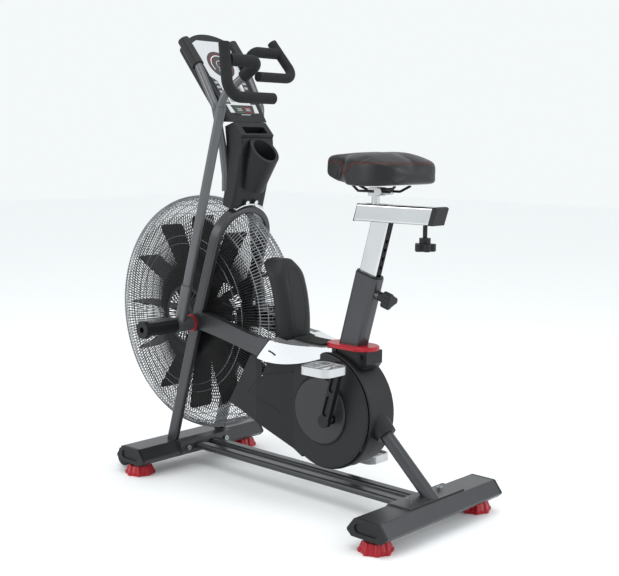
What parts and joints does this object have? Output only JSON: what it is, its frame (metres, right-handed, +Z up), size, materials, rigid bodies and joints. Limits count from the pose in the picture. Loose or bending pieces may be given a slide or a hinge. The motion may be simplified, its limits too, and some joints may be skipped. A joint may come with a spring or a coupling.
{
  "type": "air bike",
  "caption": "Upright exercise bike whose pedals and swinging arms drive a caged fan, with a bottle cup, a console and an adjustable saddle.",
  "frame": {"origin": "on the floor at the centre of the machine's outer box", "axes": "+X forwards to the fan end, +Y to the rider's left, +Z up"},
  "size_m": [1.3146, 0.634, 1.3505],
  "materials": {
    "graphite_frame": "satin dark graphite paint",
    "grey_arm": "satin grey paint",
    "black_metal": "satin black paint",
    "cover_plastic": "fine-textured black moulding",
    "disc_plastic": "semi-gloss dark grey moulding",
    "red_plastic": "semi-gloss red moulding",
    "silver_plastic": "glossy silver moulding",
    "grip_foam": "matt closed-cell foam",
    "tread_rubber": "ribbed rubber",
    "wheel_rubber": "hard black rubber",
    "chrome_metal": "satin chrome plate",
    "steel": "bright steel",
    "zinc_steel": "zinc-plated steel",
    "cast_alloy": "fine cast alloy",
    "wire_silver": "plated wire",
    "fan_plastic": "dark grey moulding",
    "belt_rubber": "ribbed belt",
    "saddle_vinyl": "black synthetic leather with red stitching",
    "screen_glass": "gloss black window"
  },
  "bodies": {
    "frame": {"arm_pivot_bushes": "red_plastic", "base_bolts": "zinc_steel", "base_rails": "graphite_frame", "bearings": "steel", "console_bezel": "silver_plastic", "console_housing": "cover_plastic", "console_screen": "screen_glass", "console_tubes": "grey_arm", "disc_covers": "disc_plastic", "drive_belt": "belt_rubber", "drive_frame": "black_metal", "drive_shroud_left": "cover_plastic", "drive_shroud_right": "cover_plastic", "fan_axle": "steel", "fan_cage": "wire_silver", "foot_pegs": "black_metal", "frame_arch": "graphite_frame", "front_legs": "graphite_frame", "mast_bracket": "chrome_metal", "mast_shroud": "cover_plastic", "mounting_plates": "graphite_frame", "peg_treads": "steel", "pivot_housings": "graphite_frame", "rear_guard": "cover_plastic", "rear_post": "graphite_frame", "seat_collar": "red_plastic", "seat_tube": "graphite_frame", "seat_tube_sleeve": "cover_plastic", "side_arms": "graphite_frame", "stabilizer_end_caps": "cover_plastic", "stabilizers": "graphite_frame", "step_cover": "silver_plastic", "step_pad": "tread_rubber", "wheel_brackets": "black_metal"},
    "crank": {"crank_left": "black_metal", "crank_right": "black_metal", "crank_axle": "steel", "crank_pulley": "cast_alloy"},
    "left pedal": {"pedal_left": "cast_alloy"},
    "right pedal": {"pedal_right": "cast_alloy"},
    "fan": {"fan_hub": "fan_plastic", "fan_blades": "fan_plastic"},
    "left arm": {"arm_left": "grey_arm", "grips_left": "grip_foam"},
    "right arm": {"arm_right": "grey_arm", "grips_right": "grip_foam"},
    "seat post": {"seat_post": "chrome_metal", "saddle_beam": "chrome_metal", "beam_end_caps": "cover_plastic"},
    "saddle": {"beam_slider": "chrome_metal", "saddle_clamp": "zinc_steel", "saddle_rails": "black_metal", "saddle": "saddle_vinyl"},
    "beam knob": {"beam_clamp_knob": "cover_plastic"},
    "post knob": {"post_pull_knob": "cover_plastic"},
    "transport wheels": {"transport_wheels": "wheel_rubber"},
    "front left foot": {"levelling_foot_front_left": "red_plastic"},
    "front right foot": {"levelling_foot_front_right": "red_plastic"},
    "rear left foot": {"levelling_foot_rear_left": "red_plastic"},
    "rear right foot": {"levelling_foot_rear_right": "red_plastic"}
  },
  "joints": [
    {"name": "crank_turn", "type": "hinge", "parent": "frame", "child": "crank", "pos_m": [-0.303, 0, 0.262], "axis": [0, 1, 0], "continuous": true},
    {"name": "fan_turn", "type": "hinge", "parent": "frame", "child": "fan", "pos_m": [0.2905, 0, 0.4925], "axis": [0, 1, 0], "continuous": true},
    {"name": "left_pedal_turn", "type": "hinge", "parent": "crank", "child": "left pedal", "pos_m": [-0.35469, 0.159, 0.42395], "axis": [0, 1, 0], "continuous": true},
    {"name": "right_pedal_turn", "type": "hinge", "parent": "crank", "child": "right pedal", "pos_m": [-0.25131, -0.159, 0.10005], "axis": [0, 1, 0], "continuous": true},
    {"name": "left_arm_swing", "type": "hinge", "parent": "frame", "child": "left arm", "pos_m": [0.216, 0.172, 0.48], "axis": [0, 1, 0], "range_deg": [-1, 24]},
    {"name": "right_arm_swing", "type": "hinge", "parent": "frame", "child": "right arm", "pos_m": [0.216, -0.172, 0.48], "axis": [0, 1, 0], "range_deg": [-24, 1]},
    {"name": "seat_height", "type": "slide", "parent": "frame", "child": "seat post", "axis": [-0.2689, 0, 0.9632], "range_m": [-0.045, 0.09]},
    {"name": "saddle_fore_aft", "type": "slide", "parent": "seat post", "child": "saddle", "axis": [1, 0, 0], "range_m": [-0.015, 0.02]},
    {"name": "beam_knob_turn", "type": "hinge", "parent": "saddle", "child": "beam knob", "pos_m": [-0.564, 0, 0.78], "axis": [0, 0, 1], "range_deg": [-170, 170]},
    {"name": "post_knob_pull", "type": "slide", "parent": "frame", "child": "post knob", "axis": [-0.9632, 0, -0.2689], "range_m": [0, 0.008], "stiffness_N_per_m": 900, "springref_m": -0.004},
    {"name": "wheels_roll", "type": "hinge", "parent": "frame", "child": "transport wheels", "pos_m": [0.4435, 0, 0.033], "axis": [0, 1, 0], "continuous": true},
    {"name": "front_left_foot_turn", "type": "hinge", "parent": "frame", "child": "front left foot", "pos_m": [0.3565, 0.219, 0.02], "axis": [0, 0, 1], "range_deg": [-170, 170]},
    {"name": "front_right_foot_turn", "type": "hinge", "parent": "frame", "child": "front right foot", "pos_m": [0.3565, -0.219, 0.02], "axis": [0, 0, 1], "range_deg": [-170, 170]},
    {"name": "rear_left_foot_turn", "type": "hinge", "parent": "frame", "child": "rear left foot", "pos_m": [-0.5935, 0.219, 0.02], "axis": [0, 0, 1], "range_deg": [-170, 170]},
    {"name": "rear_right_foot_turn", "type": "hinge", "parent": "frame", "child": "rear right foot", "pos_m": [-0.5935, -0.219, 0.02], "axis": [0, 0, 1], "range_deg": [-170, 170]}
  ],
  "couplings": [
    {"joint": "fan_turn", "follows": "crank_turn", "ratio": 4},
    {"joint": "right_arm_swing", "follows": "left_arm_swing", "ratio": -1}
  ]
}
